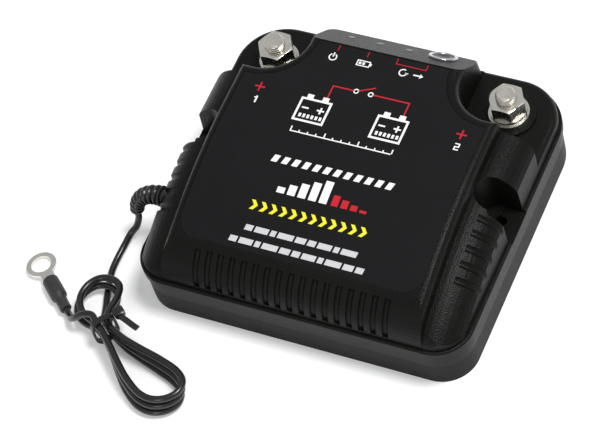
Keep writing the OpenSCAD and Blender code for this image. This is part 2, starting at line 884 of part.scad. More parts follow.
module coil_winding() {
    low = wall + frame_t + bobbin_flange_t;
    high = frame_top_z - frame_t - bobbin_flange_t;
    color([0.7, 0.36, 0.16]) translate([0, core_y, low + run_clear]) difference() {
        cylinder(h = high - low - 2 * run_clear, r = coil_r);
        translate([0, 0, -over]) cylinder(h = high, r = bobbin_tube_r + run_clear);
    }
}

module plunger() {
    color([0.6, 0.61, 0.62]) translate([0, core_y, 0]) {
        translate([0, 0, plunger_z]) cylinder(h = plunger_neck_z - plunger_z, r = plunger_r);
        translate([0, 0, plunger_neck_z - over])
            cylinder(h = stem_top_z - plunger_neck_z + over, r = stem_r);
        translate([0, 0, bridge_z - collar_t]) cylinder(h = collar_t, r = collar_r);
        translate([0, 0, bridge_z + bridge_t]) cylinder(h = collar_t, r = collar_r);
    }
}

module contact_bridge() {
    color([0.8, 0.5, 0.32]) translate([0, core_y, bridge_z]) {
        difference() {
            union() {
                translate([-bridge_hx + bridge_w / 2, -bridge_w / 2, 0])
                    cube([2 * bridge_hx - bridge_w, bridge_w, bridge_t]);
                for (s = [-1, 1]) translate([s * (bridge_hx - bridge_w / 2), 0, 0])
                    cylinder(h = bridge_t, r = bridge_w / 2);
            }
            translate([0, 0, -over]) cylinder(h = bridge_t + 2 * over, r = stem_r + run_clear);
        }
        for (s = [-1, 1]) translate([s * contact_x, 0, -button_contact_t])
            cylinder(h = button_contact_t + over, r = button_contact_r);
    }
}

module return_spring() {
    low = frame_top_z + spring_wire_r + run_clear;
    high = bridge_z - spring_wire_r - run_clear;
    steps = 8 * spring_turns;
    color([0.7, 0.7, 0.7]) tube([for (i = [0 : steps])
        [spring_r * cos(45 * i), core_y + spring_r * sin(45 * i), low + (high - low) * i / steps]],
        spring_wire_r, 6);
}

module main_board() {
    color([0.1, 0.32, 0.18]) difference() {
        translate([-board_hx, board_front_y, board_z])
            cube([2 * board_hx, board_back_y - board_front_y, board_t]);
        for (s = [-1, 1], y = [board_front_y + standoff_in, board_back_y - standoff_in])
            translate([s * (board_hx - standoff_in), y, 0])
                cylinder(h = case_h, r = standoff_r / 2);
    }
}

module on_board() {
    translate([0, 0, board_z + board_t]) children();
}

module terminal_block() {
    color([0.15, 0.35, 0.2]) on_board() translate([block_at.x, block_at.y, 0]) difference() {
        translate([-block_size.x / 2, -block_size.y / 2, 0]) cube(block_size);
        translate([0, 0, block_size.z / 2]) cylinder(h = block_size.z, r = wire_r + 2 * clear);
        for (s = [-1, 1]) translate([0, s * block_size.y / 3, block_size.z - over])
            cylinder(h = 2 * over, r = wire_r);
    }
}

module capacitors() {
    color([0.12, 0.12, 0.3]) on_board() for (x = cap_x) translate([x, cap_y, 0]) difference() {
        cylinder(h = cap_h, r = cap_r);
        translate([0, 0, cap_h - clear]) cylinder(h = over, r = cap_r - over);
    }
}

module control_chip() {
    color([0.1, 0.1, 0.1]) on_board() translate([chip_at.x, chip_at.y, 0]) {
        translate([-chip_size.x / 2, -chip_size.y / 2, chip_leg.z / 2])
            cube([chip_size.x, chip_size.y, chip_size.z - chip_leg.z / 2]);
        for (i = [0 : chip_legs - 1], s = [-1, 1])
            translate([(i - (chip_legs - 1) / 2) * chip_size.x / (chip_legs + 1),
                s * (chip_size.y + chip_leg.y) / 2, chip_leg.z / 2])
                cube([chip_leg.x, 2 * chip_leg.y, chip_leg.z], center = true);
    }
}

module power_devices() {
    color([0.2, 0.2, 0.2]) on_board() for (x = driver_x) translate([x, driver_y, 0]) difference() {
        union() {
            translate([-driver_size.x / 2, 0, 0]) cube(driver_size);
            translate([-driver_size.x / 2, driver_size.y - driver_tab_t, 0])
                cube([driver_size.x, driver_tab_t, driver_size.z + driver_tab_h]);
        }
        translate([0, -over, driver_size.z + driver_tab_h / 2]) rotate([-90, 0, 0])
            cylinder(h = far, r = driver_hole_r);
    }
}

module display_board() {
    color([0.1, 0.32, 0.18]) on_strip(0, small_run[0], -small_depth)
        translate([-small_hx, 0, 0]) cube([2 * small_hx, small_run[1] - small_run[0], board_t]);
}

module board_ribbon() {
    w = ribbon_x[1] - ribbon_x[0];
    start_y = board_back_y - plug_d;
    top_z = board_z + board_t + plug_h;
    color([0.55, 0.56, 0.58]) translate([ribbon_x[0], 0, 0]) {
        translate([-over / 2, start_y - plug_d / 2, board_z + board_t])
            cube([w + over, plug_d, plug_h]);
        rotate([90, 0, 90]) linear_extrude(w) polygon([
            [start_y, top_z - over], [start_y, top_z + ribbon_t],
            [ribbon_turn_y - ribbon_t, top_z + ribbon_t],
            [ribbon_end.x - ribbon_t, ribbon_end.y], [ribbon_end.x + ribbon_t / 4, ribbon_end.y],
            [ribbon_turn_y, top_z], [start_y + ribbon_t, top_z], [start_y + ribbon_t, top_z - over]]);
    }
}

module led(i) {
    color([0.75, 0.76, 0.74]) on_strip(led_x + i * led_pitch, strip_run, board_t - small_depth)
        cylinder(h = small_depth - board_t + led_dome, r = led_r);
}

module led_power() { led(0); }
module led_charging() { led(1); }
module led_override() { led(2); }

module button_ring() {
    color([0.85, 0.85, 0.84]) on_strip(button_x, button_run) rotate_extrude()
        difference() {
            union() {
                translate([button_r + clear, -ring_sleeve])
                    square([ring_sleeve_r - button_r - clear, ring_sleeve + ring_h / 2]);
                translate([button_r + clear, 0]) square([ring_r - button_r - clear, ring_h / 2]);
                translate([button_r + clear + ring_h / 2, 0])
                    square([ring_r - button_r - clear - ring_h, ring_h]);
                translate([ring_r - ring_h / 2, ring_h / 2]) circle(ring_h / 2);
                translate([button_r + clear + ring_h / 2, ring_h / 2]) circle(ring_h / 2);
            }
            translate([0, -ring_h]) square([ring_sleeve_r / 2, 2 * ring_h]);
            translate([ring_sleeve_r + clear, -far]) square([far, far]);
        }
}

module button_cap() {
    color([0.08, 0.08, 0.08]) on_strip(button_x, button_run) difference() {
        union() {
            translate([0, 0, cap_top - cap_t]) cylinder(h = cap_t, r = button_r);
            translate([0, 0, board_t - small_depth + tact_h - stem_grip])
                cylinder(h = small_depth - board_t - tact_h + stem_grip - clear, r = cap_stem_r);
        }
        translate([0, 0, cap_top + cap_dish_r - cap_dish]) sphere(cap_dish_r);
    }
}

module tact_switch() {
    color([0.2, 0.2, 0.22]) on_strip(button_x, button_run, board_t - small_depth) difference() {
        translate([-tact_w / 2, -tact_w / 2, 0]) cube([tact_w, tact_w, tact_h]);
        translate([0, 0, tact_h - stem_grip - button_travel - stem_play])
            cylinder(h = far, r = cap_stem_r + stem_play);
    }
}

module case_screws() {
    color([0.6, 0.6, 0.6]) for (s = [-1, 1], i = [0, 1]) translate([s * screw_x[i], screw_y[i], 0]) {
        difference() {
            translate([0, 0, screw_sink - screw_head_h]) cylinder(h = screw_head_h, r = screw_head_r);
            translate([0, 0, screw_sink - screw_head_h - over])
                cylinder(h = over + screw_head_h / 2, r = screw_r, $fn = 6);
        }
        translate([0, 0, screw_sink - over / 2]) cylinder(h = screw_len + over / 2, r = screw_r);
    }
}

// Places the children where the relief's bend has turned by a
module on_relief(a) {
    translate([relief_wall_x - relief_collar, relief_y, relief_z]) rotate([-relief_lean, 0, 0])
        translate([0, 0, -relief_bend_r]) rotate([0, -a, 0]) translate([0, 0, relief_bend_r])
            rotate([0, -90, 0]) children();
}

module strain_relief() {
    step = 90 / relief_ribs;
    color([0.1, 0.1, 0.1]) {
        translate([relief_wall_x, relief_y, relief_z]) rotate([0, 90, 0]) {
            translate([0, 0, -relief_collar]) cylinder(h = relief_collar - run_clear, r = relief_root_r);
            translate([0, 0, -relief_collar / 2])
                cylinder(h = relief_in_x - relief_wall_x + relief_collar, r = relief_neck_r);
            translate([0, 0, relief_in_x - relief_wall_x])
                cylinder(h = relief_flange_t, r = relief_flange_r);
        }
        translate([relief_wall_x - relief_collar, relief_y, relief_z]) rotate([-relief_lean, 0, 0])
            translate([0, 0, -relief_bend_r]) rotate([90, 0, 0]) rotate(90) rotate_extrude(angle = 90)
                translate([relief_bend_r, 0]) circle(relief_core_r);
        for (i = [1 : relief_ribs - 1]) on_relief(i * step) translate([0, 0, -relief_rib_t / 2])
            cylinder(h = relief_rib_t, r = relief_root_r + (relief_tip_r - relief_root_r) * i / relief_ribs);
        on_relief(90) translate([0, 0, -relief_rib_t]) cylinder(h = relief_rib_t, r = relief_tip_r);
    }
}

// Point and direction of the relief's tip
relief_tip = [relief_wall_x - relief_collar - relief_bend_r,
    relief_y - relief_bend_r * sin(relief_lean), relief_z - relief_bend_r * cos(relief_lean)];
relief_dir = [0, -sin(relief_lean), -cos(relief_lean)];

module inner_lead() {
    color([0.1, 0.1, 0.1]) tube(inner_route, wire_r, lead_sides);
}

// Hank in plan: place along it and across it at ring i of a loop
function hank_plan(i) =
    let (n = run_rings[0], m = run_rings[1], f = fold_rings,
        far_run = hank_long - hank_hw, near_run = hank_short - hank_hw,
        spread = hank_hw - waist_hw)
    i <= n ? [far_run * i / n, waist_hw + spread * bow(i, n)] :
    i <= n + f ? [far_run + hank_hw * sin(180 * (i - n) / f), hank_hw * cos(180 * (i - n) / f)] :
    i <= 2 * n + f ? let (k = 2 * n + f - i) [far_run * k / n, -waist_hw - spread * bow(k, n)] :
    i <= 2 * n + f + m ? let (k = i - 2 * n - f)
        [-near_run * k / m, -waist_hw - spread * bow(k, m)] :
    i <= 2 * n + 2 * f + m ? let (a = 180 * (i - 2 * n - f - m) / f)
        [-near_run - hank_hw * sin(a), -hank_hw * cos(a)] :
    let (k = loop_rings - i) [-near_run * k / m, waist_hw + spread * bow(k, m)];

// Point in space from places along, across and above the hank
function hank_world(along, across, up) =
    let (side = across + hank_bow * along * along)
    [tie_at.x + along * cos(hank_angle) - side * sin(hank_angle),
        tie_at.y + along * sin(hank_angle) + side * cos(hank_angle), up];

// Ring i of the whole hank
function hank_point(i) =
    let (p = hank_plan(i % loop_rings), turns = i / loop_rings,
        share = p.x > 0 ? min(p.x / (hank_long - hank_hw), 1) : min(-p.x / (hank_short - hank_hw), 1),
        fan = p.x > 0 ? fan_long * (turns - 1) : fan_short * (turns - 1.25) + fan_shift)
    hank_world(p.x, p.y + fan * bow(share, 1),
        wire_r + run_clear + hank_lift * (1 - bow(share, 1)) + hank_rise * turns);

hank_start = hank_point(0);
hank_end = hank_point(hank_rings);
hank_dir = [cos(hank_angle), sin(hank_angle), 0];
hank_path = concat([hank_start - 2 * wire_r * hank_dir],
    [for (i = [0 : hank_rings]) hank_point(i)], [hank_end - 2 * wire_r * hank_dir]);

module lead_hank() {
    echo(hank_least_gap = least_gap(hank_path, 3) - 2 * wire_r);
    color([0.09, 0.09, 0.09]) tube(hank_path, wire_r, hank_sides);
}

module ground_lead() {
    route = concat([relief_tip, relief_tip + 2 * wire_r * relief_dir], lead_route,
        [hank_start - 4 * wire_r * hank_dir, hank_start - 2 * wire_r * hank_dir]);
    echo(lead_from = relief_tip, lead_to = hank_start - 2 * wire_r * hank_dir);
    color([0.09, 0.09, 0.09]) tube(route, wire_r, lead_sides);
}

boot_dir = [cos(boot_angle), sin(boot_angle), 0];

module lead_tail() {
    echo(tail_from = hank_end - 2 * wire_r * hank_dir, tail_to = boot_at);
    color([0.09, 0.09, 0.09]) tube(concat([hank_end - 2 * wire_r * hank_dir,
        hank_end - 4 * wire_r * hank_dir], tail_route,
        [boot_at - 2 * wire_r * boot_dir, boot_at]), wire_r, lead_sides);
}

module cable_tie() {
    w = waist_hw + wire_r + tie_gap;
    h = hank_end.z + wire_r + 2 * clear;
    color([0.06, 0.06, 0.06]) translate([tie_at.x, tie_at.y, 0]) rotate(hank_angle) {
        rotate([90, 0, 90]) translate([0, 0, -tie_w / 2]) linear_extrude(tie_w) difference() {
            translate([-w - tie_t, 0]) square([2 * (w + tie_t), h + tie_t]);
            translate([-w, tie_t]) square([2 * w, h - tie_t]);
        }
        translate([-tie_head.x / 2, w + tie_t - over / 2, h - tie_head.z]) cube(tie_head);
        translate([tie_head.x / 2 - over / 2, w + tie_t + clear, h - tie_head.z / 2])
            rotate(tie_tail_turn) cube([tie_tail_l, tie_w - 2 * clear, tie_t]);
    }
}

module on_boot(l) {
    translate(boot_at) rotate([0, 90, boot_angle]) translate([0, 0, l]) children();
}

module terminal_boot() {
    color([0.1, 0.1, 0.1]) difference() {
        union() {
            on_boot(0) cylinder(h = boot_l[0], r = boot_r[0]);
            on_boot(boot_l[0] - over) cylinder(h = boot_l[1] + over, r = boot_r[1]);
        }
        on_boot(boot_l[0]) cylinder(h = far, r = barrel_r + run_clear);
    }
}

module ring_terminal() {
    tip = boot_l[0] + boot_l[1];
    color([0.82, 0.82, 0.8]) {
        on_boot(boot_l[0] + clear) cylinder(h = boot_l[1] + over / 2, r = barrel_r);
        translate(boot_at + (tip + over / 2) * boot_dir) rotate(boot_angle) rotate([0, eye_dip, 0])
            difference() {
                union() {
                    translate([eye_reach, 0, -eye_t / 2]) cylinder(h = eye_t, r = eye_r);
                    translate([0, -eye_neck_w / 2, -eye_t / 2])
                        cube([eye_reach, eye_neck_w, eye_t]);
                }
                translate([eye_reach, 0, -over]) cylinder(h = 2 * over, r = eye_hole_r);
            }
    }
}

base_shell();
gasket();
top_cover();
label_panel();
terminal_studs();
flat_washers();
lock_washer_main();
lock_washer_aux();
nut_main();
nut_aux();
busbar_main();
busbar_aux();
fixed_contacts();
contactor_frame();
bobbin();
coil_winding();
plunger();
contact_bridge();
return_spring();
main_board();
terminal_block();
capacitors();
control_chip();
power_devices();
display_board();
board_ribbon();
led_power();
led_charging();
led_override();
button_ring();
button_cap();
tact_switch();
case_screws();
strain_relief();
inner_lead();
ground_lead();
lead_hank();
lead_tail();
cable_tie();
terminal_boot();
ring_terminal();
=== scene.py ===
import math

import bmesh
import bpy
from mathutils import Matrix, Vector
from mathutils.bvhtree import BVHTree


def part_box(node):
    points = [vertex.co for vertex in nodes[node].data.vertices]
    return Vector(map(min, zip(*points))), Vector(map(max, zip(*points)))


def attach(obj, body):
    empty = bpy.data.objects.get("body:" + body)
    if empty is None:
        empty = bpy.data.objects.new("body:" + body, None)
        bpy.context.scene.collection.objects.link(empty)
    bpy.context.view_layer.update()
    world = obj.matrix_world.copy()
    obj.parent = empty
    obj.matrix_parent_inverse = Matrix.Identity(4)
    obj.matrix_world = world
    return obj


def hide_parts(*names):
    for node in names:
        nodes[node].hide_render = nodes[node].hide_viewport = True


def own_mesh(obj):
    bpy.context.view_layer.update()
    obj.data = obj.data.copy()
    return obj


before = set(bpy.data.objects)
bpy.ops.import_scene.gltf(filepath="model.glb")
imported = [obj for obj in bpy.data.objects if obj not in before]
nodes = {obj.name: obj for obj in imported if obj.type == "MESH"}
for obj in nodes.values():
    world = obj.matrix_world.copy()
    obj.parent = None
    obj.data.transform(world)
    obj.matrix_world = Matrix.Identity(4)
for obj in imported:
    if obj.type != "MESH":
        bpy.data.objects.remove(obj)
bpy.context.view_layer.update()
MM = 0.001

# Places and sizes in millimetres, as the part's source has them
STUDS = [(-49.0, 43.65), (49.0, 43.65)]
STUD_R = 4.0
STUD_HEAD_Z = (15.4, 20.7)
STUD_TOP_Z = 40.3
THREAD_PITCH = 1.25
THREAD_ROOT = 3.25

# Ground lead: strain relief at the wall, routes to and from the tie, the hank's loops, the boot
WIRE_R = 1.4
WIRE_ROUNDING = 6
RUN_CLEAR = 0.05
RELIEF_WALL = (-67.85, -29.0, 26.5)
RELIEF_COLLAR = 1.2
RELIEF_BEND_R = 12.0
RELIEF_LEAN = math.radians(11.5)
RELIEF_R = (4.2, 2.9)
RELIEF_CORE_R = 2.5
RELIEF_RIBS = 8
LEAD_ROUTE = [(-81.4, -32.6, 9.8), (-82.4, -34.2, 6.8), (-84.3, -36.6, 4.6), (-85.4, -41, 2.7),
              (-86, -46.5, 1.7), (-85.8, -52.5, 1.4), (-84.4, -58.5, 1.4), (-82.6, -64, 1.4),
              (-80.8, -68.8, 1.4), (-79.2, -73.2, 1.9)]
TAIL_ROUTE = [(-82.9, -79.6, 11.4), (-86.8, -80.6, 8.6), (-90.1, -79.8, 5.3)]
TIE_AT = (-73.8, -81.2)
HANK_ANGLE = math.radians(-36.5)
HANK_BOW = 0.003
HANK_HW = 8.5
HANK_LONG = 44.0
HANK_SHORT = 22.0
HANK_RISE = 3.6
HANK_LIFT = 1.3
WAIST_HW = 1.8
FAN_SHORT = 2.0
FAN_SHIFT = 3.6
FAN_LONG = 1.2
FAN_MIDDLE = (1, 1.25)
RUN_RINGS = (4, 3)
FOLD_RINGS = 5
LOOP_RINGS = 2 * (sum(RUN_RINGS) + FOLD_RINGS)
HANK_RINGS = 2 * LOOP_RINGS + 2 * RUN_RINGS[0] + FOLD_RINGS
BOOT_AT = (-94.7, -75.8, 3.4)
BOOT_ANGLE = math.radians(140)


# Materials
NOISE_SPAN = (0.3, 0.7)
FINE_NOISE = {"detail": 2.0, "roughness": 0.6}


def new_material(name, colour, rough, metal=0.0, specular=0.5):
    mat = bpy.data.materials.new(name)
    mat.use_nodes = True
    shader = mat.node_tree.nodes["Principled BSDF"]
    shader.inputs["Base Color"].default_value = (*colour, 1)
    shader.inputs["Roughness"].default_value = rough
    shader.inputs["Metallic"].default_value = metal
    shader.inputs["Specular IOR Level"].default_value = specular
    return mat, mat.node_tree, shader


def coordinates(tree, stretch=(1, 1, 1)):
    place = tree.nodes.new("ShaderNodeTexCoord")
    mapping = tree.nodes.new("ShaderNodeMapping")
    mapping.inputs["Scale"].default_value = stretch
    tree.links.new(place.outputs["Object"], mapping.inputs["Vector"])
    return mapping.outputs["Vector"]


def noise(tree, vector, scale, detail=3.0, roughness=0.5):
    node = tree.nodes.new("ShaderNodeTexNoise")
    node.inputs["Scale"].default_value = scale
    node.inputs["Detail"].default_value = detail
    node.inputs["Roughness"].default_value = roughness
    tree.links.new(vector, node.inputs["Vector"])
    return node.outputs["Fac"]


def ramp(tree, factor, stops):
    node = tree.nodes.new("ShaderNodeValToRGB")
    node.color_ramp.elements[0].position = stops[0][0]
    node.color_ramp.elements[1].position = stops[-1][0]
    node.color_ramp.elements[0].color = (*stops[0][1], 1)
    node.color_ramp.elements[1].color = (*stops[-1][1], 1)
    for place, colour in stops[1:-1]:
        element = node.color_ramp.elements.new(place)
        element.color = (*colour, 1)
    tree.links.new(factor, node.inputs["Fac"])
    return node.outputs["Color"]


def remap(tree, factor, low, high):
    node = tree.nodes.new("ShaderNodeMapRange")
    node.inputs["From Min"].default_value = NOISE_SPAN[0]
    node.inputs["From Max"].default_value = NOISE_SPAN[1]
    node.inputs["To Min"].default_value = low
    node.inputs["To Max"].default_value = high
    tree.links.new(factor, node.inputs["Value"])
    return node.outputs["Result"]


def bump(tree, shader, height, strength, distance, under=None):
    node = tree.nodes.new("ShaderNodeBump")
    node.inputs["Strength"].default_value = strength
    node.inputs["Distance"].default_value = distance
    tree.links.new(height, node.inputs["Height"])
    if under is not None:
        tree.links.new(under, node.inputs["Normal"])
    tree.links.new(node.outputs["Normal"], shader.inputs["Normal"])
    return node.outputs["Normal"]


def surface(name, colour, rough, metal=0.0, vary=0.15, cloud=60.0, grain=2500.0, depth=0.0001,
            strength=0.2, spread=0.06, stretch=(1, 1, 1), specular=0.5):
    """A finish with clouded colour, uneven roughness and a fine relief."""
    mat, tree, shader = new_material(name, colour, rough, metal, specular)
    vector = coordinates(tree, stretch)
    clouds = noise(tree, vector, cloud)
    fine = noise(tree, vector, grain, **FINE_NOISE)
    darker = tuple(c * (1 - vary) for c in colour)
    lighter = tuple(min(1, c * (1 + vary)) for c in colour)
    tree.links.new(ramp(tree, clouds, [(NOISE_SPAN[0], darker), (NOISE_SPAN[1], lighter)]),
                   shader.inputs["Base Color"])
    tree.links.new(remap(tree, fine, rough - spread, rough + spread), shader.inputs["Roughness"])
    bump(tree, shader, fine, strength, depth)
    return mat


# Mould texture: pits, grain and clouds to the metre, and the relief's depths in metres
PITS, PIT_DEPTH = 1800, 0.00016
GRAIN, GRAIN_DEPTH, GRAIN_SHARE = 3200, 0.00008, 0.8
CLOUDS, CLOUD_LIFT, CLOUD_SPAN = 45, 1.5, (0.35, 0.7)
SMOOTHER, ROUGHER = 0.1, 0.12


def spark_plastic(name, colour, rough, strength, specular):
    """Moulded plastic with the pitted texture of a spark-eroded mould."""
    mat, tree, shader = new_material(name, colour, rough, specular=specular)
    vector = coordinates(tree)
    pits = tree.nodes.new("ShaderNodeTexVoronoi")
    pits.inputs["Scale"].default_value = PITS
    tree.links.new(vector, pits.inputs["Vector"])
    clouds = noise(tree, vector, CLOUDS)
    fine = noise(tree, vector, GRAIN, **FINE_NOISE)
    lighter = tuple(c * CLOUD_LIFT for c in colour)
    tree.links.new(ramp(tree, clouds, [(CLOUD_SPAN[0], colour), (CLOUD_SPAN[1], lighter)]),
                   shader.inputs["Base Color"])
    tree.links.new(remap(tree, fine, rough - SMOOTHER, rough + ROUGHER), shader.inputs["Roughness"])
    first = bump(tree, shader, pits.outputs["Distance"], strength, PIT_DEPTH)
    bump(tree, shader, fine, strength * GRAIN_SHARE, GRAIN_DEPTH, first)
    return mat


cover_black = spark_plastic("cover_black", (0.0032, 0.0033, 0.0027), 0.36, 0.55, 0.13)
base_black = spark_plastic("base_black", (0.0065, 0.0065, 0.0058), 0.5, 0.25, 0.12)
label_film = surface("label_film", (0.0062, 0.0056, 0.0064), 0.3, vary=0.08, grain=1800,
                     strength=0.03, spread=0.03, specular=0.18)
zinc = surface("zinc", (0.72, 0.7, 0.64), 0.24, 1.0, vary=0.08, cloud=200, grain=1200,
               strength=0.03, spread=0.05)
thread_zinc = surface("thread_zinc", (0.68, 0.65, 0.58), 0.3, 1.0, vary=0.12, cloud=300,
                      grain=1200, strength=0.03, spread=0.05)
tin = surface("tin", (0.7, 0.68, 0.62), 0.26, 1.0, vary=0.06, cloud=400, grain=1200,
              strength=0.03, spread=0.05)
chrome = surface("chrome", (0.5, 0.5, 0.52), 0.22, 1.0, vary=0.04, cloud=300, grain=1500,
                 strength=0.03, spread=0.04)
copper = surface("copper", (0.72, 0.36, 0.22), 0.34, 1.0, vary=0.2, cloud=120, stretch=(1, 6, 1))
silver = surface("silver", (0.8, 0.79, 0.76), 0.3, 1.0, vary=0.1, cloud=600)
steel = surface("steel", (0.45, 0.45, 0.46), 0.36, 1.0, vary=0.15, cloud=150, stretch=(1, 5, 1))
nylon = surface("nylon", (0.7, 0.66, 0.54), 0.5, vary=0.06)
enamel_wire = surface("enamel_wire", (0.45, 0.16, 0.06), 0.3, 0.7, vary=0.25, cloud=900,
                      stretch=(1, 1, 9), grain=1400, strength=0.5)
solder_mask = surface("solder_mask", (0.012, 0.12, 0.04), 0.3, vary=0.3, cloud=350, grain=900)
moulding = surface("moulding", (0.02, 0.02, 0.02), 0.45, vary=0.1)
block_green = surface("block_green", (0.03, 0.2, 0.08), 0.42, vary=0.08)
sleeve = surface("sleeve", (0.02, 0.03, 0.12), 0.25, vary=0.1)
ribbon = surface("ribbon", (0.32, 0.33, 0.34), 0.5, vary=0.12, cloud=900, stretch=(6, 0.2, 0.2))
lens = surface("lens", (0.17, 0.19, 0.165), 0.5, vary=0.06, cloud=500, grain=1500,
               strength=0.05, specular=0.3)
button_gloss = surface("button_gloss", (0.02, 0.02, 0.022), 0.34, vary=0.6, cloud=420,
                       grain=700, strength=0.05, spread=0.08, specular=0.35)
seal = surface("seal", (0.015, 0.015, 0.015), 0.7, vary=0.1)
vinyl = surface("vinyl", (0.009, 0.009, 0.009), 0.24, vary=0.15, cloud=90, grain=900,
                strength=0.05, spread=0.06)
relief_vinyl = surface("relief_vinyl", (0.01, 0.01, 0.01), 0.26, vary=0.12, cloud=200,
                       grain=1500, strength=0.06)
boot_vinyl = surface("boot_vinyl", (0.02, 0.02, 0.02), 0.55, vary=0.15, cloud=300, grain=1600,
                     strength=0.15)
tie_nylon = surface("tie_nylon", (0.009, 0.009, 0.009), 0.22, vary=0.1, cloud=300)
INK = {"white": (0.82, 0.82, 0.8), "red": (0.48, 0.012, 0.022), "yellow": (0.78, 0.74, 0.03),
       "grey": (0.55, 0.55, 0.56)}
inks = {n: surface("ink_" + n, c, 0.5, vary=0.03, cloud=300, strength=0.03, specular=0.2)
        for n, c in INK.items()}

NODE_MATERIALS = {
    cover_black: ["top_cover"], base_black: ["base_shell"], label_film: ["label_panel"],
    zinc: ["flat_washers", "lock_washer_main", "lock_washer_aux", "nut_main", "nut_aux"],
    copper: ["busbar_main", "busbar_aux", "contact_bridge"], silver: ["fixed_contacts"],
    steel: ["contactor_frame", "plunger", "case_screws"], nylon: ["bobbin"],
    enamel_wire: ["coil_winding"], solder_mask: ["main_board", "display_board"],
    moulding: ["control_chip", "power_devices", "tact_switch"], block_green: ["terminal_block"],
    sleeve: ["capacitors"], ribbon: ["board_ribbon"],
    lens: ["led_power", "led_charging", "led_override"], chrome: ["button_ring"],
    button_gloss: ["button_cap"], seal: ["gasket"], vinyl: ["inner_lead"],
    tin: ["ring_terminal"]}


def dress(obj, mat):
    obj.data.materials.clear()
    obj.data.materials.append(mat)


for finish, names in NODE_MATERIALS.items():
    for node_name in names:
        dress(nodes[node_name], finish)


BEVEL_ANGLE = math.radians(35)
BEVEL_STEPS = 3


def round_edges(obj, width):
    """Breaks a hard edge as a real press or mould does."""
    bevel = obj.modifiers.new("round_edges", "BEVEL")
    bevel.width = width * MM
    bevel.segments = BEVEL_STEPS
    bevel.limit_method = "ANGLE"
    bevel.angle_limit = BEVEL_ANGLE
    bevel.harden_normals = True


# Helpers for new pieces
SHARP_ANGLE = math.radians(40)


def piece_from(name, verts, faces, mat):
    """A smooth piece of the case, with sharp edges kept."""
    mesh = bpy.data.meshes.new(name)
    mesh.from_pydata([tuple(c * MM for c in v) for v in verts], [], faces)
    mesh.update()
    shaped = bmesh.new()
    shaped.from_mesh(mesh)
    bmesh.ops.recalc_face_normals(shaped, faces=shaped.faces)
    shaped.to_mesh(mesh)
    shaped.free()
    for polygon in mesh.polygons:
        polygon.use_smooth = True
    mesh.set_sharp_from_angle(angle=SHARP_ANGLE)
    obj = bpy.data.objects.new(name, mesh)
    bpy.context.scene.collection.objects.link(obj)
    dress(obj, mat)
    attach(obj, "case")
    return obj


def rings_to_faces(rings, count):
    """Faces of a closed skin through rings of count points, with both ends closed."""
    faces = []
    for i in range(rings - 1):
        for k in range(count):
            a, b = i * count + k, i * count + (k + 1) % count
            faces.append((a, b, b + count, a + count))
    faces.append(tuple(range(count))[::-1])
    faces.append(tuple(range((rings - 1) * count, rings * count)))
    return faces


RING_START = Vector((0.31, 0.17, 0.93))


def sweep(path, radii, count):
    """Points of round rings along a path."""
    path = [Vector(p) for p in path]
    last = len(path) - 1
    verts = []
    side = None
    for i, point in enumerate(path):
        along = (path[min(i + 1, last)] - path[max(i - 1, 0)]).normalized()
        if side is None:
            side = along.cross(RING_START).normalized()
        side = (side - along * side.dot(along)).normalized()
        up = along.cross(side)
        for k in range(count):
            turn = 2 * math.pi * k / count
            verts.append(point + radii[i] * (math.cos(turn) * side + math.sin(turn) * up))
    return verts


ROUTE_STEPS = 6
LEAST_KNOT = 1e-6


def blend(p, q, a, b, t):
    return p * ((b - t) / (b - a)) + q * ((t - a) / (b - a))


def smooth_route(points):
    """Points of a Catmull-Rom curve through points, with knots spaced by distance."""
    pts = [Vector(p) for p in points]
    pts = [2 * pts[0] - pts[1]] + pts + [2 * pts[-1] - pts[-2]]
    out = []
    for i in range(1, len(pts) - 2):
        four = pts[i - 1:i + 3]
        knots = [0.0]
        for a, b in zip(four[:-1], four[1:]):
            knots.append(knots[-1] + max((b - a).length, LEAST_KNOT) ** 0.5)
        t0, t1, t2, t3 = knots
        for k in range(ROUTE_STEPS):
            t = t1 + (t2 - t1) * k / ROUTE_STEPS
            a1, a2, a3 = [blend(four[n], four[n + 1], knots[n], knots[n + 1], t) for n in range(3)]
            out.append(blend(blend(a1, a2, t0, t2, t), blend(a2, a3, t1, t3, t), t1, t2, t))
    return out + [pts[-2]]


# Camera at the photograph's angle: lens in millimetres, place in metres, turns in degrees
CAMERA_LENS = 165.654
CAMERA_SENSOR = 36
CAMERA_AT = (0.374432, -0.504095, 0.879095)
CAMERA_TURNS = (34.39845, 10.85619, 23.3677)
CAMERA_REACH = (0.01, 50)
bpy.context.scene.view_settings.view_transform = "Standard"
camera_data = bpy.data.cameras.new("camera")
camera_data.sensor_width = CAMERA_SENSOR
camera_data.lens = CAMERA_LENS
camera_data.clip_start, camera_data.clip_end = CAMERA_REACH
camera = bpy.data.objects.new("camera", camera_data)
camera.location = CAMERA_AT
camera.rotation_euler = [math.radians(a) for a in CAMERA_TURNS]
bpy.context.scene.collection.objects.link(camera)
bpy.context.scene.camera = camera


# Ground lead: strain relief to tie, hank, and tie to boot
def bow(place, steps):
    return (1 - math.cos(math.pi * place / steps)) / 2


